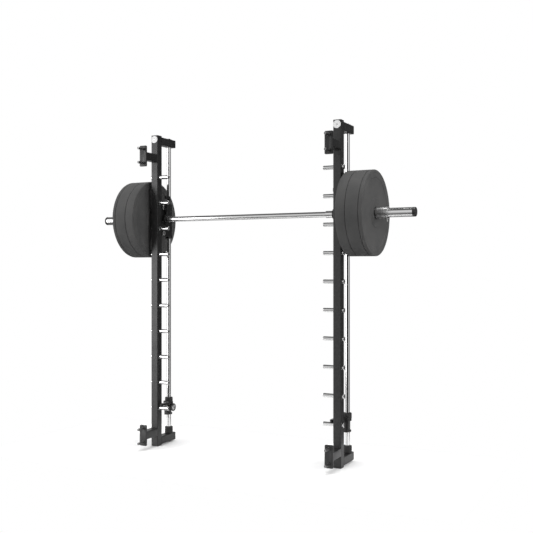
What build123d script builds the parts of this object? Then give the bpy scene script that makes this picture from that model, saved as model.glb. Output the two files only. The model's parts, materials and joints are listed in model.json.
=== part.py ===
from build123d import *
import math
import os

# A pair of rack-mounted guide towers with a guided barbell between them.
# Millimetres, +Z up, +X along the barbell, -Y towards the rack that the towers bolt to.
# Each tower is drawn once in its own frame: x outwards, y back from the upright's centre, z from the floor.

# Uprights and their welded arms
UPRIGHT_HEIGHT = 1820
UPRIGHT_SPACING = 1146
TUBE = 45
TUBE_WALL = 3
TUBE_CORNER = 4
CAP_LIP = 4
CAP_CHAMFER = 1
PLUG_DEPTH = 18
ARM_INSET = 7
ARM_END = 168
BADGE_D = 42
BADGE_THICK = 4
BADGE_EDGE = 1.5
BADGE_DROP = 25

# Rack brackets
BRACKET_LOW_Z = 85
BRACKET_PITCH = 1600
BRACKET_FACE = 137
PLATE_WIDTH = 46
PLATE_HEIGHT = 119
PLATE_THICK = 8
PLATE_CORNER = 6
STUD_D = 14
STUD_ROOT_D = 16
STUD_PITCH = 80
STUD_REACH = 48
STUD_CHAMFER = 1.5
STUD_HEAD_AF = 22
STUD_HEAD = 9

# Pegs
PEG_D = 22
PEG_PITCH = 150
PEG_COUNT = 10
PEG_LOW_Z = 224
PEG_REACH = 86
PEG_FLANGE_D = 25
PEG_FLANGE = 4
PEG_CAP_D = 26
PEG_CAP = 10
PEG_EDGE = 3

# Guide rods
ROD_D = 25
ROD_Y = 129
WASHER_D = 36
WASHER_THICK = 2
SCREW_D = 12
SCREW_HEAD_D = 20
SCREW_HEAD = 5
SCREW_SOCKET_AF = 10
SCREW_DEPTH = 30
SCREW_SPARE = 2
SCREW_CHAMFER = 1
BUMPER_D = 48
BUMPER_HEIGHT = 39
BUMPER_EDGE = 3

# Barbell
BAR_D = 30
BAR_Y = 51
HOOK_RISE = 93
HOOK_PEG = 8
BAR_Z = PEG_LOW_Z + HOOK_PEG * PEG_PITCH - HOOK_RISE
BAR_COLLAR_D = 38
BAR_COLLAR_IN = 50
BAR_COLLAR_LENGTH = 42
BAR_COLLAR_CHAMFER = 2
SLEEVE_D = 50
SLEEVE_BORE_D = 36
SLEEVE_IN = 28
SLEEVE_OUT = 402
SHOULDER_D = 70
SHOULDER_END = 46
SHOULDER_EDGE = 2
SLEEVE_BUSH = 40
END_CAP = 16
END_CAP_EDGE = 5
END_PLAY = 2
SLEEVE_GROOVE_AT = 262
SLEEVE_GROOVE = 3
SLEEVE_GROOVE_DEPTH = 1

# Hooks
HOOK_IN = 34
HOOK_THICK = 12
HOOK_HUB_D = 62
HOOK_BOSS_D = 50
HOOK_BOSS_OUT = 3
HOOK_NOSE = 20
HOOK_NOSE_FRONT = 18
HOOK_NOSE_CORNER = 7
HOOK_FRONT = 6
HOOK_BACK_CORNER = 22
NOTCH_GAP = 2.5
NOTCH_CORNER = 5

# Carriages
HOUSING_D = 40
HOUSING_TOP = 91
HOUSING_BOTTOM = -109
CHEEK_IN = 20
CHEEK_THICK = 12
CHEEK_FRONT = 27
BLOCK_BACK = 75
BLOCK_TOP = 88
BLOCK_BOTTOM = -100
BLOCK_OUT = 16
BLOCK_CORNER = 14
BLOCK_BORE_D = 36
CHEEK_BORE_D = 34
BEARING_D = 42
BEARING_WIDTH = 18
BUSH_D = 32
BUSH_LENGTH = 48
BUSH_FLANGE = 3
CLAMP_D = 12
CLAMP_HEAD_D = 28
CLAMP_HEAD = 8
CLAMP_HEAD_EDGE = 3
CLAMP_SOCKET_AF = 8
CLAMP_Y = 41
CLAMP_HEIGHTS = (71, -82)
CLAMP_NUT_AF = 19
CLAMP_NUT = 9
CLAMP_END = 1

# Weight plates and lock collars
DISC_D = 450
DISC_THICKNESS = {"inner": 54, "middle": 70, "outer": 20}
DISC_START = 46
DISC_BORE_D = 50.8
DISC_EDGE = 4
DISC_HUB_D = 150
DISC_RIM = 38
DISC_DISH = 3
DISC_GAP = 0.4
LOCK_AT = 191
LOCK_D = 60
LOCK_WIDTH = 67
LOCK_CHAMFER = 2
LOCK_BOSS_D = 18
LOCK_BOSS_DROP = 34
PIN_AT = 248
PIN_D = 8
PIN_DROP = 47
PIN_GRIP_D = 11
PIN_GRIP = 9
PIN_EDGE = 1.5

# Safety stops
STOP_BASE_Z = 165
STOP_RING_Z = 224
STOP_TOP_Z = 236
STOP_RING_D = 44
STOP_FOOT_D = 40
STOP_FOOT = 10
STOP_WEB_FRONT = 98
STOP_WEB_BACK = 112
STOP_WEB_WIDTH = 24
STOP_BUSH_D = 30
STOP_BUMPER_D = 46
STOP_BUMPER_BORE_D = 27
STOP_BUMPER = 31
STOP_BUMPER_EDGE = 4
STOP_ARM_THICK = 14
STOP_ARM_IN = 45
STOP_ARM_OUT = 28
STOP_ARM_FRONT = -16
STOP_ARM_BACK = 106
STOP_ARM_WIDTH = 18
STOP_ARM_CORNER = 8
KNOB_D = 46
KNOB_THICK = 9
KNOB_EDGE = 2.5
KNOB_HUB_D = 22
KNOB_HUB = 4
KNOB_HUB_EDGE = 1.5
KNOB_STEM_D = 10
KNOB_IN = 27
KNOB_Z = 208
TAB_IN = 23
TAB_THICK = 7
TAB_WIDTH = 22
TAB_DROP = 28

# Clearances, on the radius
RUNNING = 0.05
SEAT = 0.02
CLEAR = 0.3

# How far a cutting tool runs past the face that it cuts
OVERRUN = 1

FRONT = BRACKET_FACE + STUD_REACH
BACK = BAR_Y + DISC_D / 2
UPRIGHT_Y = (FRONT - BACK) / 2
HOOK_RADIUS = math.hypot(BAR_Y, HOOK_RISE)
PEG_HEIGHTS = [PEG_LOW_Z + PEG_PITCH * step for step in range(PEG_COUNT)]
BRACKET_HEIGHTS = {"bottom": BRACKET_LOW_Z, "top": BRACKET_LOW_Z + BRACKET_PITCH}
ARM_HEIGHTS = {"bottom": ARM_INSET + TUBE / 2, "top": UPRIGHT_HEIGHT - ARM_INSET - TUBE / 2}
BAR_END = SLEEVE_OUT - END_CAP - WASHER_THICK - SCREW_HEAD - END_PLAY
SIDES = {"left": -1, "right": 1}


def x_cylinder(radius, start, end, y=0, z=0):
    """A cylinder along x from start to end."""
    length = end - start
    return Pos((start + end) / 2, y, z) * Rot(0, 90, 0) * Cylinder(radius, length)


def y_cylinder(radius, start, end, x=0, z=0):
    """A cylinder along y from start to end."""
    length = end - start
    return Pos(x, (start + end) / 2, z) * Rot(90, 0, 0) * Cylinder(radius, length)


def z_cylinder(radius, start, end, x=0, y=0):
    """A cylinder along z from start to end."""
    length = end - start
    return Pos(x, y, (start + end) / 2) * Cylinder(radius, length)


def span_box(x, y, z):
    """A box from its (low, high) pairs along each axis."""
    size = [high - low for low, high in (x, y, z)]
    middle = [(high + low) / 2 for low, high in (x, y, z)]
    return Pos(*middle) * Box(*size)


def round_edges(shape):
    """The circular edges of a turned shape."""
    return shape.edges().filter_by(GeomType.CIRCLE)


def square_tube(length):
    """A square tube with rounded corners, from z 0 up to its length."""
    outer = extrude(RectangleRounded(TUBE, TUBE, TUBE_CORNER), length)
    hollow = TUBE - 2 * TUBE_WALL
    inner = extrude(RectangleRounded(hollow, hollow, TUBE_CORNER - TUBE_WALL / 2), length)
    return outer - inner


def tube_cap():
    """A plastic plug cap: a lip on top of z 0 and a hollow plug that reaches into the tube."""
    lip = extrude(RectangleRounded(TUBE, TUBE, TUBE_CORNER), CAP_LIP)
    lip = chamfer(lip.faces().sort_by(Axis.Z)[-1].edges(), CAP_CHAMFER)
    plug_width = TUBE - 2 * TUBE_WALL - 2 * CLEAR
    plug = extrude(RectangleRounded(plug_width, plug_width, TUBE_CORNER - TUBE_WALL / 2), -PLUG_DEPTH)
    core_width = plug_width - 2 * TUBE_WALL
    core = extrude(RectangleRounded(core_width, core_width, TUBE_CORNER - TUBE_WALL / 2), -PLUG_DEPTH)
    return lip + (plug - core)


def hexagon(across_flats, height):
    """A hexagonal prism from z 0 up."""
    return extrude(RegularPolygon(across_flats / 2, 6, major_radius=False), height)


def upright():
    """The square tube upright, drilled right through for its pegs."""
    tube = Pos(0, 0, CAP_LIP) * square_tube(UPRIGHT_HEIGHT - 2 * CAP_LIP)
    holes = [x_cylinder(PEG_D / 2 + SEAT, -TUBE, TUBE, z=height) for height in PEG_HEIGHTS]
    return tube - holes


def upright_caps():
    """The plug caps in the two ends of one upright."""
    top = Pos(0, 0, UPRIGHT_HEIGHT - CAP_LIP) * tube_cap()
    bottom = Pos(0, 0, CAP_LIP) * Rot(180, 0, 0) * tube_cap()
    return [top, bottom]


def badge():
    """The plain round badge near the top of the upright's front face."""
    front = -TUBE / 2
    height = UPRIGHT_HEIGHT - BADGE_DROP
    disc = y_cylinder(BADGE_D / 2, front - BADGE_THICK, front, z=height)
    rim = disc.edges().sort_by(Axis.Y)[0]
    return fillet(rim, BADGE_EDGE)


def arm(height):
    """A square tube arm behind the upright, drilled through for the guide rod."""
    start = TUBE / 2
    tube = Pos(0, start, height) * Rot(-90, 0, 0) * square_tube(ARM_END - CAP_LIP - start)
    return tube - z_cylinder(ROD_D / 2 + SEAT, height - TUBE, height + TUBE, y=ROD_Y)


def arm_cap(height):
    """The plug cap in an arm's back end, clear of the guide rod."""
    return Pos(0, ARM_END - CAP_LIP, height) * Rot(-90, 0, 0) * tube_cap()


def bracket(height):
    """A square tube stub on the upright's front face, with a drilled plate that bolts to the rack."""
    back = -TUBE / 2
    plate_back = -BRACKET_FACE + PLATE_THICK
    stub = Pos(0, back, height) * Rot(90, 0, 0) * square_tube(back - plate_back)
    plate = extrude(RectangleRounded(PLATE_WIDTH, PLATE_HEIGHT, PLATE_CORNER), PLATE_THICK)
    plate = Pos(0, plate_back, height) * Rot(90, 0, 0) * plate
    body = stub + plate
    start = -BRACKET_FACE - OVERRUN
    for offset in (-STUD_PITCH / 2, STUD_PITCH / 2):
        body -= y_cylinder(STUD_ROOT_D / 2 + SEAT, start, plate_back + OVERRUN, z=height + offset)
    return body


def rack_stud(height):
    """A hexagon-head stud, thicker inside the bracket plate, standing out towards the rack."""
    plate_back = -BRACKET_FACE + PLATE_THICK
    head = Pos(0, plate_back, height) * Rot(-90, 0, 0) * hexagon(STUD_HEAD_AF, STUD_HEAD)
    root = y_cylinder(STUD_ROOT_D / 2, -BRACKET_FACE, plate_back, z=height)
    shank = y_cylinder(STUD_D / 2, -FRONT, -BRACKET_FACE, z=height)
    shank = chamfer(shank.edges().sort_by(Axis.Y)[0], STUD_CHAMFER)
    return head + root + shank


def rack_studs():
    """The four rack bolts of one tower."""
    studs = []
    for middle in BRACKET_HEIGHTS.values():
        studs += [rack_stud(middle - STUD_PITCH / 2), rack_stud(middle + STUD_PITCH / 2)]
    return studs


def peg(height):
    """A turned peg through the upright, with a flange on the inner face and a round tip."""
    face = TUBE / 2
    body = x_cylinder(PEG_D / 2, -PEG_REACH, face, z=height)
    body = fillet(round_edges(body).sort_by(Axis.X)[0], PEG_EDGE)
    return body + x_cylinder(PEG_FLANGE_D / 2, -face - PEG_FLANGE, -face, z=height)


def peg_cap(height):
    """A domed cap on the peg's outer end."""
    face = TUBE / 2
    cap = x_cylinder(PEG_CAP_D / 2, face, face + PEG_CAP, z=height)
    return fillet(round_edges(cap).sort_by(Axis.X)[-1], PEG_EDGE)


def guide_rod():
    """The round shaft through both arms, with a tapped hole in each end."""
    low = ARM_INSET
    high = UPRIGHT_HEIGHT - ARM_INSET
    rod = z_cylinder(ROD_D / 2, low, high, y=ROD_Y)
    for start, end in ((low, low + SCREW_DEPTH), (high - SCREW_DEPTH, high)):
        rod -= z_cylinder(SCREW_D / 2 + SEAT, start, end, y=ROD_Y)
    return rod


def rod_screw(face, way):
    """A socket-head screw with its washer, holding the rod end at an arm's outer face."""
    washer = z_cylinder(WASHER_D / 2, 0, WASHER_THICK)
    head = z_cylinder(SCREW_HEAD_D / 2, WASHER_THICK, WASHER_THICK + SCREW_HEAD)
    head = chamfer(head.edges().sort_by(Axis.Z)[-1], SCREW_CHAMFER)
    socket = Pos(0, 0, WASHER_THICK + SCREW_HEAD / 2) * hexagon(SCREW_SOCKET_AF, SCREW_HEAD)
    shank = z_cylinder(SCREW_D / 2, -SCREW_DEPTH + SCREW_SPARE, WASHER_THICK)
    screw = washer + head + shank - socket
    turn = 0 if way > 0 else 180
    return Pos(0, ROD_Y, face) * Rot(turn, 0, 0) * screw


def rod_screws():
    """The screws at the two ends of one guide rod."""
    return [rod_screw(UPRIGHT_HEIGHT - ARM_INSET, 1), rod_screw(ARM_INSET, -1)]


def rod_bumper():
    """The rubber ring round the guide rod on the bottom arm."""
    low = ARM_INSET + TUBE
    ring = z_cylinder(BUMPER_D / 2, low, low + BUMPER_HEIGHT, y=ROD_Y)
    ring = fillet(round_edges(ring), BUMPER_EDGE)
    return ring - z_cylinder(ROD_D / 2 + SEAT, low - OVERRUN, low + BUMPER_HEIGHT + OVERRUN, y=ROD_Y)


def carriage_housing():
    """The bushing tube that runs on the guide rod, with a flat cheek reaching forward past the bar."""
    top = BAR_Z + HOUSING_TOP
    bottom = BAR_Z + HOUSING_BOTTOM
    tube = z_cylinder(HOUSING_D / 2, bottom, top, y=ROD_Y)
    cheek_x = (-CHEEK_IN, -CHEEK_IN + CHEEK_THICK)
    cheek = span_box(cheek_x, (CHEEK_FRONT, ROD_Y), (BAR_Z + BLOCK_BOTTOM, BAR_Z + BLOCK_TOP))
    cheek = fillet(cheek.edges().filter_by(Axis.X).sort_by(Axis.Y)[:2], BLOCK_CORNER)
    body = tube + cheek
    body -= z_cylinder(BUSH_D / 2 + SEAT, bottom - OVERRUN, top + OVERRUN, y=ROD_Y)
    body -= x_cylinder(CHEEK_BORE_D / 2, -CHEEK_IN - OVERRUN, 0, y=BAR_Y, z=BAR_Z)
    for height in CLAMP_HEIGHTS:
        body -= x_cylinder(CLAMP_D / 2 + SEAT, -CHEEK_IN - OVERRUN, 0, y=CLAMP_Y, z=BAR_Z + height)
    return body


def bearing_block():
    """The block bolted to the cheek behind the upright, bored for the bar's bearing."""
    start = -CHEEK_IN + CHEEK_THICK
    z = (BAR_Z + BLOCK_BOTTOM, BAR_Z + BLOCK_TOP)
    block = span_box((start, BLOCK_OUT), (CHEEK_FRONT, BLOCK_BACK), z)
    block = fillet(block.edges().filter_by(Axis.X), BLOCK_CORNER)
    block -= x_cylinder(BEARING_D / 2 + SEAT, start - OVERRUN, start + BEARING_WIDTH, y=BAR_Y, z=BAR_Z)
    block -= x_cylinder(BLOCK_BORE_D / 2, start, BLOCK_OUT + OVERRUN, y=BAR_Y, z=BAR_Z)
    for height in CLAMP_HEIGHTS:
        block -= x_cylinder(
            CLAMP_D / 2 + SEAT, start - OVERRUN, BLOCK_OUT + OVERRUN, y=CLAMP_Y, z=BAR_Z + height
        )
    return block


def bar_bearing():
    """The sealed bearing in the block, drawn as one ring that the bar runs in."""
    start = -CHEEK_IN + CHEEK_THICK
    ring = x_cylinder(BEARING_D / 2, start, start + BEARING_WIDTH, y=BAR_Y, z=BAR_Z)
    return ring - x_cylinder(BAR_D / 2 + RUNNING, start - OVERRUN, BLOCK_OUT, y=BAR_Y, z=BAR_Z)


def linear_bushing(end, way):
    """A flanged bushing in one end of the housing; way is the direction it leaves by."""
    inner = end - way * BUSH_LENGTH
    outer = end + way * BUSH_FLANGE
    bush = z_cylinder(BUSH_D / 2, min(inner, end), max(inner, end), y=ROD_Y)
    bush += z_cylinder(HOUSING_D / 2, min(outer, end), max(outer, end), y=ROD_Y)
    return bush - z_cylinder(ROD_D / 2 + RUNNING, end - 2 * BUSH_LENGTH, end + 2 * BUSH_LENGTH, y=ROD_Y)


def linear_bushings():
    """The two bushings of one carriage."""
    return [linear_bushing(BAR_Z + HOUSING_TOP, 1), linear_bushing(BAR_Z + HOUSING_BOTTOM, -1)]


def clamp_bolt(height):
    """A round-headed bolt through the cheek and the bearing block."""
    head = x_cylinder(CLAMP_HEAD_D / 2, -CHEEK_IN - CLAMP_HEAD, -CHEEK_IN, y=CLAMP_Y, z=height)
    head = fillet(round_edges(head).sort_by(Axis.X)[0], CLAMP_HEAD_EDGE)
    socket = hexagon(CLAMP_SOCKET_AF, CLAMP_HEAD / 2)
    socket = Pos(-CHEEK_IN - CLAMP_HEAD, CLAMP_Y, height) * Rot(0, 90, 0) * socket
    shank = x_cylinder(CLAMP_D / 2, -CHEEK_IN, BLOCK_OUT + CLAMP_NUT + CLAMP_END, y=CLAMP_Y, z=height)
    return head - socket + shank


def clamp_nut(height):
    """The hexagon nut on a clamp bolt, behind the upright."""
    nut = Pos(BLOCK_OUT, CLAMP_Y, height) * Rot(0, 90, 0) * hexagon(CLAMP_NUT_AF, CLAMP_NUT)
    end = BLOCK_OUT + CLAMP_NUT + OVERRUN
    return nut - x_cylinder(CLAMP_D / 2 + SEAT, BLOCK_OUT - OVERRUN, end, y=CLAMP_Y, z=height)


def clamp_fasteners():
    """The two bolts and nuts of one carriage."""
    heights = [BAR_Z + height for height in CLAMP_HEIGHTS]
    return [clamp_bolt(height) for height in heights] + [clamp_nut(height) for height in heights]


def bar_shaft():
    """The one-piece bar through both carriages and both sleeves, tapped at its ends."""
    half = UPRIGHT_SPACING / 2 + BAR_END
    shaft = x_cylinder(BAR_D / 2, -half, half, y=UPRIGHT_Y + BAR_Y, z=BAR_Z)
    for start, end in ((-half, -half + SCREW_DEPTH), (half - SCREW_DEPTH, half)):
        shaft -= x_cylinder(SCREW_D / 2 + SEAT, start, end, y=UPRIGHT_Y + BAR_Y, z=BAR_Z)
    return shaft


def bar_end_screw():
    """The screw and washer that keep a sleeve on the bar, inside the sleeve's end."""
    face = BAR_END
    washer = x_cylinder(SLEEVE_BORE_D / 2 - CLEAR, face, face + WASHER_THICK, y=BAR_Y, z=BAR_Z)
    head = x_cylinder(SCREW_HEAD_D / 2, face, face + WASHER_THICK + SCREW_HEAD, y=BAR_Y, z=BAR_Z)
    shank = x_cylinder(SCREW_D / 2, face - SCREW_DEPTH + SCREW_SPARE, face, y=BAR_Y, z=BAR_Z)
    return washer + head + shank


def bar_collar():
    """The set collar beside a hook, on the bar's inner side."""
    start = -BAR_COLLAR_IN - BAR_COLLAR_LENGTH
    ring = x_cylinder(BAR_COLLAR_D / 2, start, -BAR_COLLAR_IN, y=BAR_Y, z=BAR_Z)
    ring = chamfer(round_edges(ring), BAR_COLLAR_CHAMFER)
    return ring - x_cylinder(BAR_D / 2 + SEAT, start - OVERRUN, -BAR_COLLAR_IN + OVERRUN, y=BAR_Y, z=BAR_Z)


def hook_outline():
    """The hook's face about the bar's axis: hub, spine and nose, with a notch open to the front."""
    bite = PEG_D / 2 + NOTCH_GAP
    top = HOOK_RADIUS + bite + HOOK_NOSE
    back = HOOK_HUB_D / 2
    spine = Pos((back - HOOK_FRONT) / 2, top / 2) * Rectangle(back + HOOK_FRONT, top)
    nose = Pos(-HOOK_NOSE_FRONT / 2, top - HOOK_NOSE / 2) * Rectangle(HOOK_NOSE_FRONT, HOOK_NOSE)
    plate = spine + nose
    plate = fillet(plate.vertices().group_by(Axis.Y)[-1].sort_by(Axis.X)[0], HOOK_NOSE_CORNER)
    plate = fillet(plate.vertices().group_by(Axis.Y)[-1].sort_by(Axis.X)[-1], HOOK_BACK_CORNER)
    mouth = 2 * HOOK_NOSE_FRONT
    slot = RectangleRounded(mouth + bite, 2 * bite, NOTCH_CORNER)
    return plate + Circle(back) - Pos((bite - mouth) / 2, HOOK_RADIUS) * slot


def hook():
    """A flat hook on the bar, swung back so that its notch is above the bar and clear of the pegs."""
    plate = Plane.YZ * extrude(hook_outline(), HOOK_THICK)
    body = Pos(-HOOK_IN - HOOK_THICK, BAR_Y, BAR_Z) * plate
    boss = x_cylinder(HOOK_BOSS_D / 2, -BAR_COLLAR_IN, -HOOK_IN + HOOK_BOSS_OUT, y=BAR_Y, z=BAR_Z)
    bore = x_cylinder(BAR_D / 2 + SEAT, -BAR_COLLAR_IN - OVERRUN, 0, y=BAR_Y, z=BAR_Z)
    return body + boss - bore


def sleeve():
    """The rotating sleeve that carries the weights, with its shoulder and a shallow end groove."""
    tube = x_cylinder(SLEEVE_D / 2, SLEEVE_IN, SLEEVE_OUT - END_CAP, y=BAR_Y, z=BAR_Z)
    shoulder = x_cylinder(SHOULDER_D / 2, SLEEVE_IN, SHOULDER_END, y=BAR_Y, z=BAR_Z)
    shoulder = fillet(round_edges(shoulder), SHOULDER_EDGE)
    groove_end = SLEEVE_GROOVE_AT + SLEEVE_GROOVE
    groove = x_cylinder(SLEEVE_D, SLEEVE_GROOVE_AT, groove_end, y=BAR_Y, z=BAR_Z)
    core_radius = SLEEVE_D / 2 - SLEEVE_GROOVE_DEPTH
    groove -= x_cylinder(core_radius, SLEEVE_GROOVE_AT, groove_end, y=BAR_Y, z=BAR_Z)
    bore = x_cylinder(SLEEVE_BORE_D / 2, SLEEVE_IN - OVERRUN, SLEEVE_OUT, y=BAR_Y, z=BAR_Z)
    return tube + shoulder - groove - bore


def sleeve_bushings():
    """The two bronze bushings between a sleeve and the bar."""
    rings = []
    for start in (SLEEVE_IN, BAR_END - CLEAR - SLEEVE_BUSH):
        end = start + SLEEVE_BUSH
        ring = x_cylinder(SLEEVE_BORE_D / 2 - SEAT, start, end, y=BAR_Y, z=BAR_Z)
        bore = x_cylinder(BAR_D / 2 + RUNNING, start - OVERRUN, end + OVERRUN, y=BAR_Y, z=BAR_Z)
        rings.append(ring - bore)
    return rings


def sleeve_cap():
    """The plastic cap in the sleeve's outer end."""
    start = SLEEVE_OUT - END_CAP
    cap = x_cylinder(SLEEVE_D / 2 - CLEAR, start, SLEEVE_OUT, y=BAR_Y, z=BAR_Z)
    return fillet(round_edges(cap).sort_by(Axis.X)[-1], END_CAP_EDGE)


def weight_disc(start, thickness):
    """A rubber weight plate, its outer ring a little proud of its hub."""
    end = start + thickness - DISC_GAP
    disc = x_cylinder(DISC_D / 2, start, end, y=BAR_Y, z=BAR_Z)
    disc = fillet(round_edges(disc), DISC_EDGE)
    for low, high in ((start, start + DISC_DISH), (end - DISC_DISH, end)):
        ring = x_cylinder(DISC_D / 2 - DISC_RIM, low, high, y=BAR_Y, z=BAR_Z)
        disc -= ring - x_cylinder(DISC_HUB_D / 2, low, high, y=BAR_Y, z=BAR_Z)
    return disc - x_cylinder(DISC_BORE_D / 2, start - OVERRUN, end + OVERRUN, y=BAR_Y, z=BAR_Z)


def lock_collar():
    """The long ring outside the plates, with a boss underneath for its pull pin."""
    end = LOCK_AT + LOCK_WIDTH
    ring = x_cylinder(LOCK_D / 2, LOCK_AT, end, y=BAR_Y, z=BAR_Z)
    ring = chamfer(round_edges(ring), LOCK_CHAMFER)
    ring += z_cylinder(LOCK_BOSS_D / 2, BAR_Z - LOCK_BOSS_DROP, BAR_Z, x=PIN_AT, y=BAR_Y)
    ring -= x_cylinder(DISC_BORE_D / 2, LOCK_AT - OVERRUN, end + OVERRUN, y=BAR_Y, z=BAR_Z)
    return ring - z_cylinder(PIN_D / 2 + RUNNING, BAR_Z - LOCK_D, BAR_Z, x=PIN_AT, y=BAR_Y)


def lock_pin():
    """The sprung pull pin of the lock collar, with a round grip at its lower end."""
    tip = BAR_Z - SLEEVE_D / 2 - CLEAR
    end = BAR_Z - PIN_DROP
    stem = z_cylinder(PIN_D / 2, end, tip, x=PIN_AT, y=BAR_Y)
    grip = z_cylinder(PIN_GRIP_D / 2, end, end + PIN_GRIP, x=PIN_AT, y=BAR_Y)
    return stem + fillet(round_edges(grip), PIN_EDGE)


def stop_bush():
    """The liner that slides on the guide rod inside a safety stop."""
    bush = z_cylinder(STOP_BUSH_D / 2, STOP_BASE_Z, STOP_TOP_Z, y=ROD_Y)
    return bush - z_cylinder(ROD_D / 2 + RUNNING, STOP_BASE_Z - OVERRUN, STOP_TOP_Z + OVERRUN, y=ROD_Y)


def stop_body():
    """The stop's frame: a foot ring and a top ring joined by a web, and a tab for the knob."""
    foot = z_cylinder(STOP_FOOT_D / 2, STOP_BASE_Z, STOP_BASE_Z + STOP_FOOT, y=ROD_Y)
    ring = z_cylinder(STOP_RING_D / 2, STOP_RING_Z, STOP_TOP_Z, y=ROD_Y)
    half = STOP_WEB_WIDTH / 2
    web = span_box((-half, half), (STOP_WEB_FRONT, STOP_WEB_BACK), (STOP_BASE_Z, STOP_TOP_Z))
    half_tab = TAB_WIDTH / 2
    tab_x = (-TAB_IN, -TAB_IN + TAB_THICK)
    tab = span_box(tab_x, (ROD_Y - half_tab, ROD_Y + half_tab), (STOP_RING_Z - TAB_DROP, STOP_TOP_Z))
    body = foot + ring + web + tab
    body -= z_cylinder(STOP_BUSH_D / 2 + RUNNING, STOP_BASE_Z - OVERRUN, STOP_TOP_Z + OVERRUN, y=ROD_Y)
    stem_radius = KNOB_STEM_D / 2 + RUNNING
    return body - x_cylinder(stem_radius, -TAB_IN - OVERRUN, -STOP_BUSH_D / 2, y=ROD_Y, z=KNOB_Z)


def stop_arm():
    """The flat arm that runs forward beside the upright and lies on a peg."""
    low = PEG_LOW_Z + PEG_D / 2 + CLEAR
    z = (low, low + STOP_ARM_THICK)
    half = STOP_WEB_WIDTH / 2
    across = span_box((-STOP_ARM_IN, half), (STOP_ARM_BACK - STOP_ARM_WIDTH, STOP_ARM_BACK), z)
    along = span_box((-STOP_ARM_IN, -STOP_ARM_OUT), (STOP_ARM_FRONT, STOP_ARM_BACK), z)
    plan = across + along
    corners = plan.edges().filter_by(Axis.Z)
    plan = fillet(corners.sort_by(Axis.Y)[:2], STOP_ARM_CORNER)
    step_y = (STOP_WEB_FRONT, STOP_ARM_BACK + OVERRUN)
    step = span_box((-half, half + OVERRUN), step_y, (low - OVERRUN, STOP_TOP_Z))
    return plan - step


def stop_bumper():
    """The rubber ring on top of the safety stop, flat in front where the arm passes."""
    bumper = z_cylinder(STOP_BUMPER_D / 2, STOP_TOP_Z, STOP_TOP_Z + STOP_BUMPER, y=ROD_Y)
    bumper = fillet(round_edges(bumper).sort_by(Axis.Z)[-1], STOP_BUMPER_EDGE)
    z = (STOP_TOP_Z - OVERRUN, STOP_TOP_Z + STOP_BUMPER + OVERRUN)
    bumper -= z_cylinder(STOP_BUMPER_BORE_D / 2, *z, y=ROD_Y)
    return bumper - span_box((-TUBE, TUBE), (0, STOP_ARM_BACK + CLEAR), z)


def stop_knob():
    """The round clamp knob on the stop's inner side, with its threaded stem."""
    stem = x_cylinder(KNOB_STEM_D / 2, -KNOB_IN, -STOP_BUSH_D / 2 - CLEAR, y=ROD_Y, z=KNOB_Z)
    disc = x_cylinder(KNOB_D / 2, -KNOB_IN - KNOB_THICK, -KNOB_IN, y=ROD_Y, z=KNOB_Z)
    disc = fillet(round_edges(disc), KNOB_EDGE)
    hub = x_cylinder(KNOB_HUB_D / 2, -KNOB_IN - KNOB_THICK - KNOB_HUB, -KNOB_IN, y=ROD_Y, z=KNOB_Z)
    hub = fillet(round_edges(hub).sort_by(Axis.X)[0], KNOB_HUB_EDGE)
    return stem + disc + hub


def place(shape, side):
    """Puts a shape drawn in a tower's frame on the left or the right tower."""
    turned = mirror(shape, about=Plane.YZ) if side == "left" else shape
    return Pos(SIDES[side] * UPRIGHT_SPACING / 2, UPRIGHT_Y, 0) * turned


def save(node, *shapes):
    """Writes one node; several shapes stay separate solids in it."""
    whole = shapes[0] if len(shapes) == 1 else Compound(children=list(shapes))
    export_step(whole, f"parts/{node}.step")


def save_pair(node, make):
    """Writes one node that holds both towers' copies of a piece, or of a list of pieces."""
    shapes = []
    for side in SIDES:
        made = make()
        pieces = made if isinstance(made, list) else [made]
        shapes += [place(piece, side) for piece in pieces]
    save(node, *shapes)


def save_tower(side):
    """Writes the fixed pieces of one tower."""
    save(f"{side}_upright", place(upright(), side))
    for level, height in ARM_HEIGHTS.items():
        save(f"{side}_{level}_arm", place(arm(height), side))
    for level, height in BRACKET_HEIGHTS.items():
        save(f"{side}_{level}_bracket", place(bracket(height), side))
    save(f"{side}_pegs", *[place(peg(height), side) for height in PEG_HEIGHTS])
    save(f"{side}_guide_rod", place(guide_rod(), side))
    save(f"{side}_rod_bumper", place(rod_bumper(), side))


def save_moving(side):
    """Writes the pieces of one side's carriage, sleeve, weights and safety stop."""
    save(f"{side}_carriage_housing", place(carriage_housing(), side))
    save(f"{side}_bearing_block", place(bearing_block(), side))
    save(f"{side}_hook", place(hook(), side))
    save(f"{side}_sleeve", place(sleeve(), side))
    save(f"{side}_sleeve_bushings", *[place(ring, side) for ring in sleeve_bushings()])
    save(f"{side}_sleeve_cap", place(sleeve_cap(), side))
    start = DISC_START
    for name, thickness in DISC_THICKNESS.items():
        save(f"{side}_{name}_weight", place(weight_disc(start, thickness), side))
        start += thickness
    save(f"{side}_lock_collar", place(lock_collar(), side))
    save(f"{side}_lock_pin", place(lock_pin(), side))
    save(f"{side}_stop_bush", place(stop_bush(), side))
    save(f"{side}_stop_body", place(stop_body(), side))
    save(f"{side}_stop_arm", place(stop_arm(), side))
    save(f"{side}_stop_bumper", place(stop_bumper(), side))
    save(f"{side}_stop_knob", place(stop_knob(), side))


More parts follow.
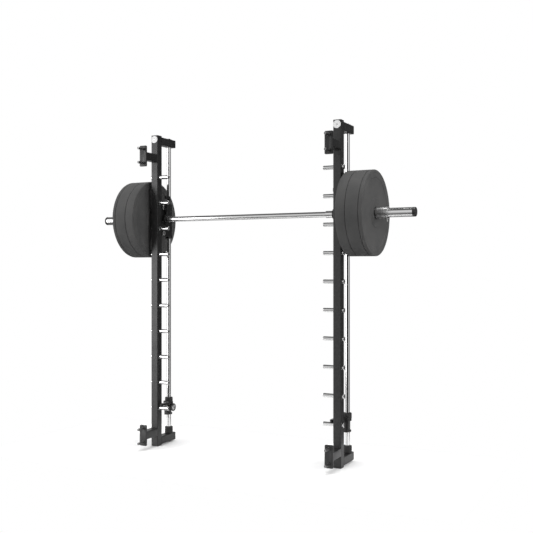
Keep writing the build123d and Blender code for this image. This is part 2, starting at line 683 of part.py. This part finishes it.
os.makedirs("parts", exist_ok=True)
for tower_side in SIDES:
    save_tower(tower_side)
    save_moving(tower_side)
save_pair("badges", badge)
save_pair("upright_caps", upright_caps)
save_pair("arm_caps", lambda: [arm_cap(height) for height in ARM_HEIGHTS.values()])
save_pair("rack_studs", rack_studs)
save_pair("peg_caps", lambda: [peg_cap(height) for height in PEG_HEIGHTS])
save_pair("rod_screws", rod_screws)
save_pair("linear_bushings", linear_bushings)
save_pair("bar_bearings", bar_bearing)
save_pair("carriage_bolts", clamp_fasteners)
save("bar_shaft", bar_shaft())
save_pair("bar_collars", bar_collar)
save_pair("bar_end_screws", bar_end_screw)
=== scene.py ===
import json
import math

import bmesh
import bpy
from mathutils import Matrix, Vector

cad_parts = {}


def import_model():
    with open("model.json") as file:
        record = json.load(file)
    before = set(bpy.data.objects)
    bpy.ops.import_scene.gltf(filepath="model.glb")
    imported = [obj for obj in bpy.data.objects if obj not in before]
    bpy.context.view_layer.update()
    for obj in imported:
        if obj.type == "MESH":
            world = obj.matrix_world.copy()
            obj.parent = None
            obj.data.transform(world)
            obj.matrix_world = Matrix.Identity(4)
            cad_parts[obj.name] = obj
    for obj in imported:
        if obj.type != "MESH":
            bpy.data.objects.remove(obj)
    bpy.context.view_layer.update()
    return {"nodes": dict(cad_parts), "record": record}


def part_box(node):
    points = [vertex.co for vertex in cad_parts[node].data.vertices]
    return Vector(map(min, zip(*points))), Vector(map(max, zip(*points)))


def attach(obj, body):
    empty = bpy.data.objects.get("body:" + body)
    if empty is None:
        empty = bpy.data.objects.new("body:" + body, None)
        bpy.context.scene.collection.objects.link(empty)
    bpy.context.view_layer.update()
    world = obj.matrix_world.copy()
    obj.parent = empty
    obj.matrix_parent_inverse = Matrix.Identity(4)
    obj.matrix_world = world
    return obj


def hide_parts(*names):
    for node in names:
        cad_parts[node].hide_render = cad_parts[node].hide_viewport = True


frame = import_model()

# Looks for the rack-mounted smith machine. Metres, +Z up, +X along the barbell.
# Each tower faces -Y, towards the rack that it bolts to.

SIDES = {"left": -1, "right": 1}
NODE_BODY = {
    node: body for body, nodes in frame["record"]["behaviour"]["bodies"].items() for node in nodes
}
NODE_SLOT = {row["node"]: row["material_slot"] for row in frame["record"]["subparts"]}


# ---------------------------------------------------------------- materials


class Shader:
    """A material's node tree, with short ways to add the nodes that these finishes share."""

    def __init__(self, name):
        self.material = bpy.data.materials.new(name)
        self.material.use_nodes = True
        self.tree = self.material.node_tree
        self.surface = self.tree.nodes["Principled BSDF"]
        self.coords = self.node("ShaderNodeTexCoord").outputs["Object"]

    def node(self, kind, **inputs):
        """A new node with its inputs filled in."""
        made = self.tree.nodes.new(kind)
        for name, value in inputs.items():
            self.put(made.inputs[name], value)
        return made

    def put(self, socket, value):
        """Links a socket to an output, or gives it a plain value."""
        if isinstance(value, bpy.types.NodeSocket):
            self.tree.links.new(value, socket)
        else:
            socket.default_value = value

    def set(self, **inputs):
        """Fills in inputs of the surface, an underscore standing for a space."""
        for name, value in inputs.items():
            self.put(self.surface.inputs[name.replace("_", " ")], value)

    def noise(self, scale, detail=4.0, stretch=(1, 1, 1)):
        """Noise of about `scale` features per metre, in the row's frame."""
        mapped = self.node("ShaderNodeMapping", Vector=self.coords, Scale=stretch)
        made = self.node("ShaderNodeTexNoise", Scale=scale, Detail=detail)
        self.put(made.inputs["Vector"], mapped.outputs["Vector"])
        return made.outputs["Fac"]

    def cells(self, scale):
        """Distance to the nearest of about `scale` cell centres per metre."""
        made = self.node("ShaderNodeTexVoronoi", Scale=scale)
        self.put(made.inputs["Vector"], self.coords)
        return made.outputs["Distance"]

    def span(self, value, low, high, start=0.0, end=1.0):
        """Maps value from start..end to low..high."""
        made = self.node("ShaderNodeMapRange")
        self.put(made.inputs["Value"], value)
        self.put(made.inputs["From Min"], start)
        self.put(made.inputs["From Max"], end)
        self.put(made.inputs["To Min"], low)
        self.put(made.inputs["To Max"], high)
        return made.outputs["Result"]

    def blend(self, factor, first, second):
        """A colour between two, by factor."""
        made = self.tree.nodes.new("ShaderNodeMix")
        made.data_type = "RGBA"
        self.put(made.inputs["Factor"], factor)
        self.put(made.inputs["A"], first)
        self.put(made.inputs["B"], second)
        return made.outputs["Result"]

    def total(self, first, second):
        """The sum of two values."""
        made = self.tree.nodes.new("ShaderNodeMath")
        made.operation = "ADD"
        self.put(made.inputs[0], first)
        self.put(made.inputs[1], second)
        return made.outputs["Value"]

    def worn_edges(self, reach, amount):
        """1 on sharp outer edges, broken up by noise, and 0 elsewhere."""
        point = self.node("ShaderNodeNewGeometry").outputs["Pointiness"]
        edge = self.span(point, 0.0, amount, reach, reach + 0.06)
        made = self.tree.nodes.new("ShaderNodeMath")
        made.operation = "MULTIPLY"
        made.use_clamp = True
        self.put(made.inputs[0], edge)
        self.put(made.inputs[1], self.span(self.noise(90.0, 6.0), 0.0, 1.0, 0.4, 0.65))
        return made.outputs["Value"]

    def relief(self, height, depth, strength=1.0):
        """Bump from a height field, depth in metres."""
        made = self.node("ShaderNodeBump", Strength=strength, Distance=depth)
        self.put(made.inputs["Height"], height)
        self.set(Normal=made.outputs["Normal"])


def grey(value, warm=0.0):
    """A grey, or a warm grey where warm is above 0."""
    return (value * (1 + warm), value, value * (1 - warm), 1.0)


def powder_coat(name, base, roughness):
    """Satin powder coat: fine orange peel, a faint mottle and slightly bared edges."""
    s = Shader(name)
    mottle = s.noise(scale=24.0, detail=5.0)
    colour = s.blend(mottle, grey(base * 0.82), grey(base * 1.18))
    colour = s.blend(s.worn_edges(reach=0.56, amount=0.35), colour, grey(base * 4.5))
    s.set(Base_Color=colour)
    peel = s.noise(scale=1500.0, detail=2.0)
    s.set(Roughness=s.span(s.total(peel, mottle), roughness - 0.06, roughness + 0.06, 0.6, 1.4))
    s.set(Specular_IOR_Level=0.42, Coat_Weight=0.06, Coat_Roughness=0.3)
    s.relief(s.total(peel, s.cells(scale=900.0)), depth=0.00012, strength=0.35)
    return s.material


def chrome(name, tone, roughness):
    """Hard chrome, with faint polishing marks and fingerprint-like haze."""
    s = Shader(name)
    haze = s.noise(scale=16.0, detail=6.0)
    s.set(Metallic=1.0, Base_Color=s.blend(haze, grey(tone * 0.94), grey(tone)))
    polish = s.noise(scale=420.0, detail=3.0, stretch=(1, 1, 6))
    s.set(Roughness=s.span(s.total(haze, polish), roughness * 0.7, roughness * 1.5, 0.7, 1.3))
    s.relief(polish, depth=0.000002, strength=0.06)
    return s.material


def plated(name, tone, roughness, warm=0.0):
    """Zinc-plated or brushed metal, with streaks and a crystalline mottle."""
    s = Shader(name)
    streak = s.noise(scale=260.0, detail=4.0, stretch=(1, 1, 12))
    spangle = s.cells(scale=340.0)
    s.set(Metallic=1.0, Base_Color=s.blend(spangle, grey(tone * 0.86, warm), grey(tone, warm)))
    s.set(Roughness=s.span(s.total(streak, spangle), roughness * 0.75, roughness * 1.35, 0.5, 1.4))
    s.relief(streak, depth=0.00003, strength=0.4)
    return s.material


def rubber(name, base, roughness, speckle):
    """Dense moulded rubber: fine grain, pale bloom in patches and small specks."""
    s = Shader(name)
    bloom = s.noise(scale=9.0, detail=6.0)
    patches = s.span(bloom, 0.0, 1.0, 0.35, 0.7)
    colour = s.blend(patches, grey(base * 0.86), grey(base * 1.14, warm=0.01))
    specks = s.span(s.cells(scale=620.0), 1.0, 0.0, 0.05, 0.17)
    colour = s.blend(specks, colour, grey(base * speckle))
    colour = s.blend(s.worn_edges(reach=0.55, amount=0.3), colour, grey(base * 1.8))
    s.set(Base_Color=colour)
    grain = s.noise(scale=2400.0, detail=3.0)
    s.set(Roughness=s.span(s.total(bloom, grain), roughness - 0.08, roughness + 0.08, 0.6, 1.4))
    s.set(Specular_IOR_Level=0.3)
    s.relief(s.total(grain, specks), depth=0.00016, strength=0.45)
    return s.material


def plastic(name, colour, roughness, grain):
    """Moulded plastic with a fine spark-eroded texture."""
    s = Shader(name)
    cloud = s.noise(scale=30.0, detail=4.0)
    darker = tuple(0.88 * c for c in colour[:3]) + (1.0,)
    s.set(Base_Color=s.blend(cloud, darker, colour))
    fine = s.noise(scale=1900.0, detail=2.0)
    s.set(Roughness=s.span(s.total(fine, cloud), roughness - 0.05, roughness + 0.05, 0.6, 1.4))
    s.relief(fine, depth=grain, strength=0.4)
    return s.material


FINISHES = {
    "black_powdercoat": powder_coat("black_powdercoat", 0.007, 0.44),
    "black_cast": powder_coat("black_cast", 0.006, 0.36),
    "chrome": chrome("chrome", 0.66, 0.11),
    "zinc": plated("zinc", 0.66, 0.26),
    "black_rubber": rubber("black_rubber", 0.02, 0.62, 0.6),
    "plate_rubber": rubber("plate_rubber", 0.062, 0.72, 1.6),
    "black_plastic": plastic("black_plastic", grey(0.018), 0.42, 0.00006),
    "badge_white": plastic("badge_white", grey(0.86), 0.4, 0.00002),
    "bronze": plated("bronze", 0.42, 0.38, 0.35),
    "dull_zinc": plated("dull_zinc", 0.22, 0.42),
    "liner_plastic": plastic("liner_plastic", grey(0.035), 0.36, 0.00004),
}


# ---------------------------------------------------------------- mesh tools

NEARLY_STRAIGHT = math.radians(176)
ON_AXIS = 1e-7
SHARP = math.radians(38)
OUTER_EDGE = math.radians(50)


def axis_matrix(origin, direction):
    """Turns +Z to the direction and moves to the origin."""
    turn = Vector((0, 0, 1)).rotation_difference(Vector(direction)).to_matrix().to_4x4()
    return Matrix.Translation(Vector(origin)) @ turn


def add_piece(name, mesh, body, slot, replaces=()):
    """Puts a mesh in the scene as a piece that rides on a body, with its slot's finish."""
    mesh.shade_smooth()
    mesh.set_sharp_from_angle(angle=SHARP)
    piece = bpy.data.objects.new(name, mesh)
    bpy.context.collection.objects.link(piece)
    mesh.materials.append(FINISHES[slot])
    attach(piece, body)
    if replaces:
        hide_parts(*replaces)
    return piece


def mesh_from(name, bm):
    """A mesh from a bmesh, its normals turned outwards."""
    bmesh.ops.recalc_face_normals(bm, faces=bm.faces)
    mesh = bpy.data.meshes.new(name)
    bm.to_mesh(mesh)
    bm.free()
    return mesh


def rounded(outline, steps=5):
    """A closed outline of (along, radius, corner) points as plain points, its corners rounded."""
    out = []
    points = [Vector((along, radius)) for along, radius, _ in outline]
    for i, (here, (_, _, corner)) in enumerate(zip(points, outline)):
        back = points[i - 1] - here
        ahead = points[(i + 1) % len(points)] - here
        angle = back.angle(ahead) if corner > 0 else math.pi
        if angle > NEARLY_STRAIGHT:
            out.append(here)
            continue
        cut = min(corner / math.tan(angle / 2), 0.49 * back.length, 0.49 * ahead.length)
        start, end = here + back.normalized() * cut, here + ahead.normalized() * cut
        for k in range(steps + 1):
            t = k / steps
            out.append(start * (1 - t) ** 2 + here * 2 * t * (1 - t) + end * t * t)
    return out


def add_lathe(bm, profile, matrix, steps, lobe):
    """Turns a closed (along, radius) profile about the matrix's +Z; lobe(angle, radius) scales it."""
    rings = []
    for along, radius in profile:
        if radius < ON_AXIS:
            rings.append([bm.verts.new(matrix @ Vector((0, 0, along)))])
            continue
        ring = []
        for k in range(steps):
            angle = 2 * math.pi * k / steps
            reach = radius * (lobe(angle, radius) if lobe else 1.0)
            place = Vector((reach * math.cos(angle), reach * math.sin(angle), along))
            ring.append(bm.verts.new(matrix @ place))
        rings.append(ring)
    for i, ring in enumerate(rings):
        other = rings[(i + 1) % len(rings)]
        if len(ring) == 1 and len(other) == 1:
            continue
        for k in range(steps):
            j = (k + 1) % steps
            if len(ring) == 1:
                corners = (ring[0], other[j], other[k])
            elif len(other) == 1:
                corners = (ring[k], ring[j], other[0])
            else:
                corners = (ring[k], ring[j], other[j], other[k])
            bm.faces.new(corners)


def lathe(name, outline, place, slot, replaces=(), steps=96, lobe=None):
    """A turned piece; place is its (origin, direction, body)."""
    origin, direction, body = place
    bm = bmesh.new()
    add_lathe(bm, rounded(outline), axis_matrix(origin, direction), steps, lobe)
    return add_piece(name, mesh_from(name, bm), body, slot, replaces)


def cad_bmesh(node):
    """A copy of a CAD node's mesh with its flat faces merged."""
    bm = bmesh.new()
    bm.from_mesh(frame["nodes"][node].data)
    bmesh.ops.remove_doubles(bm, verts=bm.verts, dist=2e-6)
    bmesh.ops.dissolve_limit(bm, angle_limit=math.radians(0.6), verts=bm.verts, edges=bm.edges)
    return bm


def eased(node, width):
    """Stands for a CAD node with its outer edges eased, as a casting or laser-cut plate has them."""
    bm = cad_bmesh(node)
    edges = [e for e in bm.edges if e.is_manifold and e.calc_face_angle_signed(0.0) > OUTER_EDGE]
    bmesh.ops.bevel(
        bm, geom=edges, offset=width, segments=2, profile=0.6, affect="EDGES", clamp_overlap=False
    )
    name = node + "_eased"
    return add_piece(name, mesh_from(name, bm), NODE_BODY[node], NODE_SLOT[node], (node,))


def middle(node):
    """The centre of a CAD node's box."""
    low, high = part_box(node)
    return (low + high) / 2


# ---------------------------------------------------------------- welds

# A bead's radius and half length, the pitch of its rings and of its ripples, and the sides of a ring.
BEAD_R = 0.0024
BEAD_HALF = 0.0185
BEAD_STEP = 0.0007
BEAD_RIPPLE = 0.0031
BEAD_SIDES = 10
BRACKET_PLATE = 0.008


def add_bead(bm, start, end, phase):
    """A rippled weld bead from start to end, half sunk in the joint, and thinner at its ends."""
    start, end = Vector(start), Vector(end)
    length = (end - start).length
    matrix = axis_matrix(start, (end - start) / length)
    count = int(length / BEAD_STEP)
    rows = []
    for i in range(count + 1):
        t = i / count
        taper = min(1.0, 8 * min(t, 1 - t) + 0.25)
        ripple = 1 + 0.13 * math.sin(2 * math.pi * t * length / BEAD_RIPPLE + phase)
        radius = BEAD_R * taper * ripple
        row = []
        for k in range(BEAD_SIDES):
            angle = 2 * math.pi * k / BEAD_SIDES
            place = Vector((radius * math.cos(angle), radius * math.sin(angle), t * length))
            row.append(bm.verts.new(matrix @ place))
        rows.append(row)
    for a, b in zip(rows, rows[1:]):
        for k in range(BEAD_SIDES):
            j = (k + 1) % BEAD_SIDES
            bm.faces.new((a[k], a[j], b[j], b[k]))
    bm.faces.new(rows[0][::-1])
    bm.faces.new(rows[-1])


def tower_welds(side):
    """The beads above and below each arm and bracket stub of one tower."""
    low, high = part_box(f"{side}_upright")
    centre_x = (low.x + high.x) / 2
    half_tube = (high.x - low.x) / 2
    joints = []
    for level in ("bottom", "top"):
        arm_low, arm_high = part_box(f"{side}_{level}_arm")
        joints += [(high.y, arm_low.z), (high.y, arm_high.z)]
        bracket = f"{side}_{level}_bracket"
        plate_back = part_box(bracket)[0].y + BRACKET_PLATE
        for z in (middle(bracket).z - half_tube, middle(bracket).z + half_tube):
            joints += [(low.y, z), (plate_back, z)]
    bm = bmesh.new()
    for count, (y, z) in enumerate(joints):
        add_bead(bm, (centre_x - BEAD_HALF, y, z), (centre_x + BEAD_HALF, y, z), 1.3 * count)
    name = f"{side}_welds"
    add_piece(name, mesh_from(name, bm), "root", "black_powdercoat")


# ---------------------------------------------------------------- weight plates

# Radii of a plate's bore and hub, and of the steps of its face: the boss round the hub, the
# raised rim, and the fine groove in that rim. Then the depths of the face's dish and of the
# groove, and the corner of the tread.
BORE_R = 0.0254
HUB_R = 0.0335
BOSS_R = 0.075
RIM_R = 0.1865
GROOVE_R = 0.206
DISH = 0.003
GROOVE = 0.0008
TREAD_EDGE = 0.0052


def weight(side, name, way):
    """A rubber bumper plate with a rounded tread and dished faces, on a ring round its hub."""
    node = f"{side}_{name}_weight"
    low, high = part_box(node)
    centre = (low + high) / 2
    thick = high.x - low.x
    outer = (high.z - low.z) / 2
    face = [(thick, BOSS_R, 0.0012), (thick - DISH, BOSS_R + 0.0035, 0.0018)]
    face += [(thick - DISH, RIM_R - 0.005, 0.0025), (thick, RIM_R, 0.0022)]
    face += [(thick, GROOVE_R, 0.0004), (thick - GROOVE, GROOVE_R + GROOVE, 0.0004)]
    face += [(thick - GROOVE, GROOVE_R + 3 * GROOVE, 0.0004), (thick, GROOVE_R + 4 * GROOVE, 0.0004)]
    face += [(thick, outer, TREAD_EDGE)]
    back = [(thick - along, radius, corner) for along, radius, corner in face[::-1]]
    hub = [(0.0004, HUB_R, 0.0006), (thick - 0.0004, HUB_R, 0.0006)]
    near = low.x if way > 0 else high.x
    place = ((near, centre.y, centre.z), (way, 0, 0), NODE_BODY[node])
    lathe(f"{node}_rubber", hub + face + back, place, "plate_rubber", replaces=(node,), steps=160)
    ring_r = HUB_R - 0.0001
    ring = [(0, BORE_R, 0.0012), (thick, BORE_R, 0.0012), (thick, ring_r, 0.0007), (0, ring_r, 0.0007)]
    lathe(f"{node}_hub", ring, place, "black_cast")


# ---------------------------------------------------------------- small pieces


def badges():
    """White discs in a raised bezel, each held by a small domed rivet."""
    node_low, node_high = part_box("badges")
    radius = (node_high.z - node_low.z) / 2
    disc = radius - 0.0018
    rivet = 0.0044
    for side in SIDES:
        low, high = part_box(f"{side}_upright")
        face = ((low.x + high.x) / 2, low.y, (node_low.z + node_high.z) / 2)
        place = (face, (0, -1, 0), "root")
        thick = low.y - node_low.y
        inner = thick - 0.0012
        seat = inner - 0.0008
        outline = [(0, 0, 0), (0, disc, 0.0002), (inner, disc, 0.0004)]
        outline += [(inner, 0.006, 0.0004), (seat, 0.0052, 0.0004), (seat, 0, 0)]
        replaced = ("badges",) if side == "left" else ()
        lathe(f"{side}_badge", outline, place, "badge_white", replaces=replaced, steps=72)
        outline = [(0, disc, 0), (0, radius, 0.0003), (thick, radius, 0.001)]
        outline += [(thick, disc - 0.0006, 0.0008), (inner, disc, 0)]
        lathe(f"{side}_badge_bezel", outline, place, "badge_white", steps=72)
        outline = [(seat - 0.0005, 0, 0), (seat - 0.0005, rivet, 0), (seat + 0.0008, rivet, 0.0006)]
        outline += [(seat + 0.0016, 0.003, 0.001), (seat + 0.0017, 0, 0)]
        lathe(f"{side}_badge_rivet", outline, place, "zinc", steps=32)


def rubber_ring(node, grooves):
    """A rubber ring on a guide rod, with shallow grooves round it."""
    low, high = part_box(node)
    centre = (low + high) / 2
    tall, outer, bore = high.z - low.z, (high.x - low.x) / 2, 0.0126
    depth = outer - 0.0016
    outline = [(0, bore, 0.0006), (0, outer, 0.003)]
    for k in range(grooves):
        at = tall * (k + 1) / (grooves + 1)
        outline += [(at - 0.002, outer, 0.0008), (at - 0.001, depth, 0.0008)]
        outline += [(at + 0.001, depth, 0.0008), (at + 0.002, outer, 0.0008)]
    outline += [(tall, outer, 0.003), (tall, bore, 0.0006)]
    place = ((centre.x, centre.y, low.z), (0, 0, 1), NODE_BODY[node])
    lathe(f"{node}_ring", outline, place, NODE_SLOT[node], replaces=(node,))


# The clamp knob: the hub stands proud of the grip's face, and the stem is inside both pieces.
KNOB_HUB = 0.004
KNOB_GRIP = 0.009
KNOB_DISH = 0.0016
KNOB_BORE_R = 0.0049
KNOB_LOBES = 12


def knob(side, way):
    """The stop's clamp knob: a scalloped plastic grip, and a bright insert with the steel stem."""
    node = f"{side}_stop_knob"
    low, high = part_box(node)
    centre = (low + high) / 2
    outer = (high.z - low.z) / 2
    tip = high.x - low.x
    face = tip - KNOB_HUB
    back = face - KNOB_GRIP
    dish = face - KNOB_DISH

    def scallop(angle, radius):
        depth = 0.05 if radius > outer * 0.8 else 0.0
        return 1 - depth * (0.5 - 0.5 * math.cos(KNOB_LOBES * angle)) ** 1.5

    stem_end = low.x if way < 0 else high.x
    place = ((stem_end, centre.y, centre.z), (-way, 0, 0), NODE_BODY[node])
    outline = [(back, KNOB_BORE_R, 0.0004), (back, outer, 0.0026), (face, outer, 0.0026)]
    outline += [(face, outer - 0.0045, 0.001), (dish, outer - 0.0062, 0.0008), (dish, KNOB_BORE_R, 0.0004)]
    lathe(f"{node}_grip", outline, place, "black_plastic", replaces=(node,), steps=180, lobe=scallop)
    rim = outer - 0.0068
    outline = [(0, 0, 0), (0, 0.005, 0.0009), (dish - 0.001, 0.005, 0.0002), (dish - 0.001, rim, 0.0002)]
    outline += [(dish + 0.0009, rim, 0.0005), (dish + 0.0009, rim - 0.0012, 0.0005)]
    outline += [(dish + 0.0003, 0.0125, 0.001), (face, 0.011, 0.001), (tip, 0.0105, 0.0014)]
    outline += [(tip, 0.006, 0.0006), (tip - 0.0012, 0.0048, 0.0006), (tip - 0.0012, 0, 0)]
    lathe(f"{node}_insert", outline, place, "zinc")


def carriage_seals(side):
    """Wiper seals round the guide rod, just outside the carriage's bushings."""
    low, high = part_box(f"{side}_carriage_housing")
    rod = middle(f"{side}_guide_rod")
    flange = 0.003
    outline = [(-0.0022, 0.0127, 0.0003), (0.0002, 0.0127, 0.0004)]
    outline += [(0.0002, 0.0165, 0.0008), (-0.0022, 0.0185, 0.0003)]
    for name, z, way in (("upper", high.z + flange, 1), ("lower", low.z - flange, -1)):
        place = ((rod.x, rod.y, z), (0, 0, way), "carriage")
        lathe(f"{side}_{name}_seal", outline, place, "black_rubber")


# How far each casting's and cut plate's outer edges are eased.
EASED = {
    "top_bracket": 0.0008, "bottom_bracket": 0.0008, "carriage_housing": 0.0009, "bearing_block": 0.001,
    "hook": 0.001, "stop_body": 0.0008, "stop_arm": 0.0012, "stop_bumper": 0.0012,
}


def dress_cad():
    """Gives every CAD node the finish of its slot, and the rack pins a duller zinc."""
    for node, piece in frame["nodes"].items():
        piece.data.materials.clear()
        piece.data.materials.append(FINISHES["dull_zinc" if node == "rack_studs" else NODE_SLOT[node]])


dress_cad()
for side, way in SIDES.items():
    tower_welds(side)
    for name in ("inner", "middle", "outer"):
        weight(side, name, way)
    rubber_ring(f"{side}_rod_bumper", 2)
    knob(side, way)
    carriage_seals(side)
    for name, width in EASED.items():
        eased(f"{side}_{name}", width)
badges()


# ---------------------------------------------------------------- stage, light and camera

# Brightness of the surround at each height in degrees, and the dark flags in it:
# the way each flag lies, the angles at which it is full and gone, and how much light it leaves.
GLOW = [(-90, 0.2), (-60, 0.2), (-32, 0.3), (-12, 0.8), (8, 1.2), (26, 1.25), (48, 0.2), (90, 0.15)]
FLAGS = [
    ((0.417, -0.828, -0.375), 26, 44, 0.03),
    ((0.5, 0.866, -0.1), 26, 50, 0.14),
]


FLOOR_HALF = (1.35, 0.58)
FLOOR_SHIFT = -0.08

# Each softbox: where it stands, where it points, its size and power, and whether it is mirrored.
SOFTBOXES = {
    "left_softbox": ((-2.9, -2.9, 1.2), (-0.57, 0, 1.0), (1.5, 2.8), 84, True),
    "front_fill": ((4.3, -2.0, 1.7), (0, 0, 1.1), (2.4, 2.4), 90, False),
    "back_fill": ((4.0, 1.7, 1.6), (0, 0, 1.1), (2.4, 2.4), 80, False),
}
OVERHEAD_STRENGTH = 2.4
OVERHEAD_ANGLE = 30

CAMERA_PLACE = (2.1367, -3.9885, 1.0584)
CAMERA_TURN = 26.74
CAMERA_LENS = 54.475
CAMERA_SHIFT = -0.002


def stage():
    """A small pale studio floor under the towers."""
    bm = bmesh.new()
    bmesh.ops.create_grid(bm, x_segments=10, y_segments=10, size=1.0)
    bmesh.ops.scale(bm, vec=(*FLOOR_HALF, 1), verts=bm.verts)
    bmesh.ops.translate(bm, vec=(0, FLOOR_SHIFT, 0), verts=bm.verts)
    mesh = bpy.data.meshes.new("floor")
    bm.to_mesh(mesh)
    bm.free()
    floor = bpy.data.objects.new("floor", mesh)
    bpy.context.collection.objects.link(floor)
    s = Shader("floor_paint")
    cloud = s.noise(scale=0.8, detail=3.0)
    s.set(Base_Color=s.blend(cloud, grey(0.9), grey(0.93)), Roughness=0.9)
    s.set(Specular_IOR_Level=0.2)
    mesh.materials.append(s.material)


def place_light(name, data, place, aim):
    """Puts a light in the scene, pointed at its aim."""
    piece = bpy.data.objects.new(name, data)
    bpy.context.collection.objects.link(piece)
    piece.location = place
    piece.rotation_euler = (Vector(aim) - Vector(place)).to_track_quat("-Z", "Y").to_euler()
    return piece


def softbox(name, place, aim, size, power, mirrored):
    """A soft rectangular light, which shows in reflections where mirrored is true."""
    data = bpy.data.lights.new(name, "AREA")
    data.shape = "RECTANGLE"
    data.size, data.size_y = size
    data.energy = power
    place_light(name, data, place, aim).visible_glossy = mirrored


def overhead():
    """Soft light from straight above: it whitens the floor and barely touches upright faces."""
    data = bpy.data.lights.new("overhead", "SUN")
    data.energy = OVERHEAD_STRENGTH
    data.angle = math.radians(OVERHEAD_ANGLE)
    place_light("overhead", data, (0, 0, 5), (0, 0, 0))


class WorldTree:
    """The studio's surround as a brightness for each direction."""

    def __init__(self, tree):
        self.tree = tree
        self.direction = tree.nodes.new("ShaderNodeTexCoord").outputs["Generated"]

    def towards(self, way):
        """How far a direction points the given way, 1 when it points straight there."""
        made = self.tree.nodes.new("ShaderNodeVectorMath")
        made.operation = "DOT_PRODUCT"
        self.tree.links.new(self.direction, made.inputs[0])
        made.inputs[1].default_value = Vector(way).normalized()
        return made.outputs["Value"]

    def fade(self, way, near_deg, far_deg, near, far):
        """Brightness `near` within near_deg of the given way, and `far` past far_deg."""
        made = self.tree.nodes.new("ShaderNodeMapRange")
        made.interpolation_type = "SMOOTHSTEP"
        self.tree.links.new(self.towards(way), made.inputs["Value"])
        made.inputs["From Min"].default_value = math.cos(math.radians(far_deg))
        made.inputs["From Max"].default_value = math.cos(math.radians(near_deg))
        made.inputs["To Min"].default_value = far
        made.inputs["To Max"].default_value = near
        return made.outputs["Result"]

    def by_height(self, stops):
        """Brightness from the direction's height in degrees."""
        height = self.tree.nodes.new("ShaderNodeSeparateXYZ")
        self.tree.links.new(self.direction, height.inputs["Vector"])
        half = self.tree.nodes.new("ShaderNodeMath")
        half.operation = "MULTIPLY_ADD"
        half.inputs[1].default_value = 0.5
        half.inputs[2].default_value = 0.5
        self.tree.links.new(height.outputs["Z"], half.inputs[0])
        ramp = self.tree.nodes.new("ShaderNodeValToRGB")
        self.tree.links.new(half.outputs["Value"], ramp.inputs["Fac"])
        marks = ramp.color_ramp.elements
        while len(marks) < len(stops):
            marks.new(0.5)
        for mark, (degrees, _) in zip(marks, stops):
            mark.position = 0.5 + 0.5 * math.sin(math.radians(degrees))
        for mark, (_, level) in zip(marks, stops):
            mark.color = (level, level, level, 1.0)
        return ramp.outputs["Color"]

    def product(self, first, second):
        """Two brightnesses multiplied."""
        made = self.tree.nodes.new("ShaderNodeMath")
        made.operation = "MULTIPLY"
        self.tree.links.new(first, made.inputs[0])
        self.tree.links.new(second, made.inputs[1])
        return made.outputs["Value"]


def world():
    """White behind the object, and for light and reflections a bright band with dark flags in it."""
    made = bpy.data.worlds.new("studio")
    bpy.context.scene.world = made
    made.use_nodes = True
    tree = made.node_tree
    tree.nodes.clear()
    shade = WorldTree(tree)
    glow = shade.by_height(GLOW)
    for way, near_deg, far_deg, depth in FLAGS:
        glow = shade.product(glow, shade.fade(way, near_deg, far_deg, depth, 1.0))
    lit = tree.nodes.new("ShaderNodeBackground")
    tree.links.new(glow, lit.inputs["Strength"])
    seen = tree.nodes.new("ShaderNodeBackground")
    seen.inputs["Color"].default_value = (1, 1, 1, 1)
    mix = tree.nodes.new("ShaderNodeMixShader")
    path = tree.nodes.new("ShaderNodeLightPath")
    out = tree.nodes.new("ShaderNodeOutputWorld")
    tree.links.new(path.outputs["Is Camera Ray"], mix.inputs["Fac"])
    tree.links.new(lit.outputs["Background"], mix.inputs[1])
    tree.links.new(seen.outputs["Background"], mix.inputs[2])
    tree.links.new(mix.outputs["Shader"], out.inputs["Surface"])


def camera():
    """A level viewpoint in front of the towers and a little to their right."""
    data = bpy.data.cameras.new("camera")
    data.lens = CAMERA_LENS
    data.sensor_width = 36.0
    data.shift_y = CAMERA_SHIFT
    data.clip_end = 200.0
    piece = bpy.data.objects.new("camera", data)
    bpy.context.collection.objects.link(piece)
    piece.location = CAMERA_PLACE
    piece.rotation_euler = (math.radians(90), 0, math.radians(CAMERA_TURN))
    bpy.context.scene.camera = piece


stage()
world()
for name, setting in SOFTBOXES.items():
    softbox(name, *setting)
overhead()
camera()
view = bpy.context.scene.view_settings
view.view_transform = "Standard"
view.look = "None"
